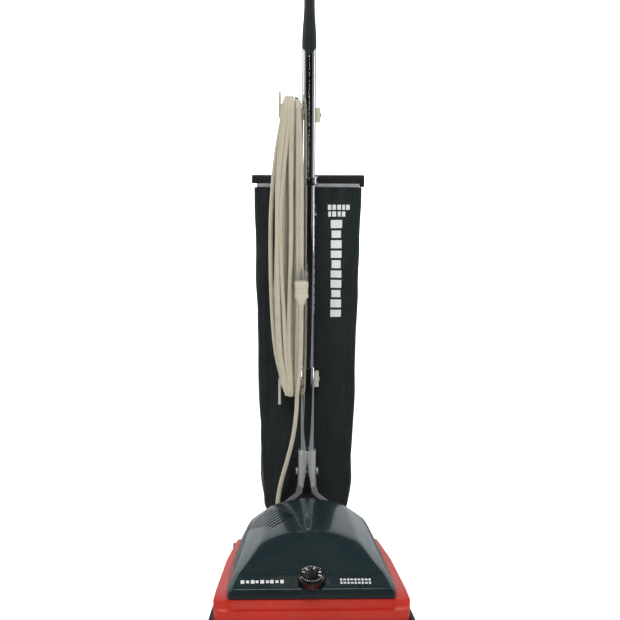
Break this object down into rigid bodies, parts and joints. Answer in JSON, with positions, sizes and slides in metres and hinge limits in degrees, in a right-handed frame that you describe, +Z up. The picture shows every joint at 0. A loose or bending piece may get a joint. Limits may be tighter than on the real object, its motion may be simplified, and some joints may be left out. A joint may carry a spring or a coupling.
{
  "type": "upright vacuum cleaner",
  "caption": "Upright bagged vacuum cleaner: glossy hooded nozzle on wheels, tilting chrome tube handle with cloth bag behind it, cord hooks with a wound cord and plug.",
  "frame": {"origin": "on the floor under the middle of the bounding box", "axes": "+Z up, nose towards -Y, operator on the +Y side"},
  "size_m": [0.348, 0.475, 1.1972],
  "materials": {
    "red_shell": "glossy red",
    "grey_shell": "glossy charcoal",
    "black_rubber": "matte rubber",
    "steel": "satin steel",
    "black_plastic": "satin black",
    "black_gloss": "glossy black",
    "iron": "bare laminations",
    "brass_bush": "bare brass",
    "chrome_tube": "polished chrome",
    "dark_grip": "fine grain",
    "cream_plastic": "cream satin",
    "black_cloth": "coated cloth",
    "beige_cord": "beige jacket",
    "alloy": "satin aluminium",
    "roll_wood": "varnished",
    "bristle": "nylon tufts"
  },
  "bodies": {
    "base": {"nozzle_housing": "red_shell", "hood": "grey_shell", "furniture_bumper": "black_rubber", "bottom_plate": "steel", "motor_housing": "black_plastic", "motor_field": "iron", "motor_bearings": "brass_bush", "fan_chamber": "black_plastic", "exhaust_duct": "black_plastic", "bag_port": "black_plastic", "belt": "black_rubber", "rear_axle": "steel", "pivot_pins": "steel", "pedal_pin": "steel", "pedal_spring": "steel", "cord_strain_relief": "black_rubber", "roll_bearings": "black_plastic", "intake_duct": "black_plastic"},
    "handle": {"bail_left": "steel", "bail_right": "steel", "bail_bolt": "steel", "lower_tube": "chrome_tube", "upper_tube": "chrome_tube", "tube_rivet": "steel", "handle_grip": "dark_grip", "switch_bezel": "black_plastic", "upper_hook": "cream_plastic", "hook_backplate": "chrome_tube", "upper_hook_screw": "steel", "lower_hook": "cream_plastic", "lower_hook_screw": "steel", "bag": "black_cloth", "bag_neck": "black_rubber", "bag_top_bar": "black_plastic", "bag_hanger": "steel", "cord_hank": "beige_cord", "cord_lead": "beige_cord", "cord_plug": "cream_plastic", "plug_prongs": "steel"},
    "knob": {"height_knob": "black_gloss"},
    "carriage": {"front_carriage": "steel", "front_axle": "steel"},
    "front_roller_left": {"front_wheel_left": "black_rubber"},
    "front_roller_right": {"front_wheel_right": "black_rubber"},
    "rear_roller_left": {"rear_wheel_left": "black_rubber"},
    "rear_roller_right": {"rear_wheel_right": "black_rubber"},
    "armature": {"armature_shaft": "steel", "armature_core": "iron", "fan_impeller": "alloy", "motor_pulley": "steel"},
    "roll": {"brush_dowel": "roll_wood", "brush_bristles": "bristle"},
    "pedal": {"release_pedal": "black_plastic"},
    "rocker": {"switch_rocker": "black_gloss"},
    "slide": {"bag_slide": "alloy"},
    "latch_left": {"plate_latch_left": "steel"},
    "latch_right": {"plate_latch_right": "steel"}
  },
  "joints": [
    {"name": "handle_tilt", "type": "hinge", "parent": "base", "child": "handle", "pos_m": [0, 0.1075, 0.075], "axis": [-1, 0, 0], "range_deg": [0, 65], "deforming": ["cord_lead", "bag_neck"]},
    {"name": "height_turn", "type": "hinge", "parent": "base", "child": "knob", "pos_m": [0, -0.185, 0.1015], "axis": [0, -0.3162, 0.9487], "range_deg": [0, 240]},
    {"name": "carriage_swing", "type": "hinge", "parent": "base", "child": "carriage", "pos_m": [0, -0.098, 0.022], "axis": [1, 0, 0], "range_deg": [0, 7]},
    {"name": "front_left_spin", "type": "hinge", "parent": "carriage", "child": "front_roller_left", "pos_m": [-0.057, -0.134, 0.018], "axis": [1, 0, 0], "continuous": true},
    {"name": "front_right_spin", "type": "hinge", "parent": "carriage", "child": "front_roller_right", "pos_m": [0.057, -0.134, 0.018], "axis": [1, 0, 0], "continuous": true},
    {"name": "rear_left_spin", "type": "hinge", "parent": "base", "child": "rear_roller_left", "pos_m": [-0.096, 0.088, 0.035], "axis": [1, 0, 0], "continuous": true},
    {"name": "rear_right_spin", "type": "hinge", "parent": "base", "child": "rear_roller_right", "pos_m": [0.096, 0.088, 0.035], "axis": [1, 0, 0], "continuous": true},
    {"name": "motor_spin", "type": "hinge", "parent": "base", "child": "armature", "pos_m": [0, -0.1, 0.084], "axis": [0, 1, 0], "continuous": true},
    {"name": "roll_spin", "type": "hinge", "parent": "base", "child": "roll", "pos_m": [0, -0.192, 0.032], "axis": [1, 0, 0], "continuous": true},
    {"name": "pedal_dip", "type": "hinge", "parent": "base", "child": "pedal", "pos_m": [-0.125, 0.07, 0.048], "axis": [-1, 0, 0], "range_deg": [0, 15], "stiffness_Nm_per_rad": 1.2, "springref_deg": -17.19},
    {"name": "rocker_tip", "type": "hinge", "parent": "handle", "child": "rocker", "pos_m": [0, 0.1225, 1.04], "axis": [1, 0, 0], "range_deg": [-7, 7]},
    {"name": "bag_slide_out", "type": "slide", "parent": "handle", "child": "slide", "axis": [-1, 0, 0], "range_m": [0, 0.19]},
    {"name": "latch_left_turn", "type": "hinge", "parent": "base", "child": "latch_left", "pos_m": [-0.12, -0.1605, 0.0125], "axis": [0, 0, 1], "range_deg": [0, 90]},
    {"name": "latch_right_turn", "type": "hinge", "parent": "base", "child": "latch_right", "pos_m": [0.12, -0.1605, 0.0125], "axis": [0, 0, 1], "range_deg": [0, 90]}
  ],
  "couplings": [
    {"joint": "carriage_swing", "follows": "height_turn", "ratio": 0.029167},
    {"joint": "roll_spin", "follows": "motor_spin", "ratio": 0.5818}
  ]
}
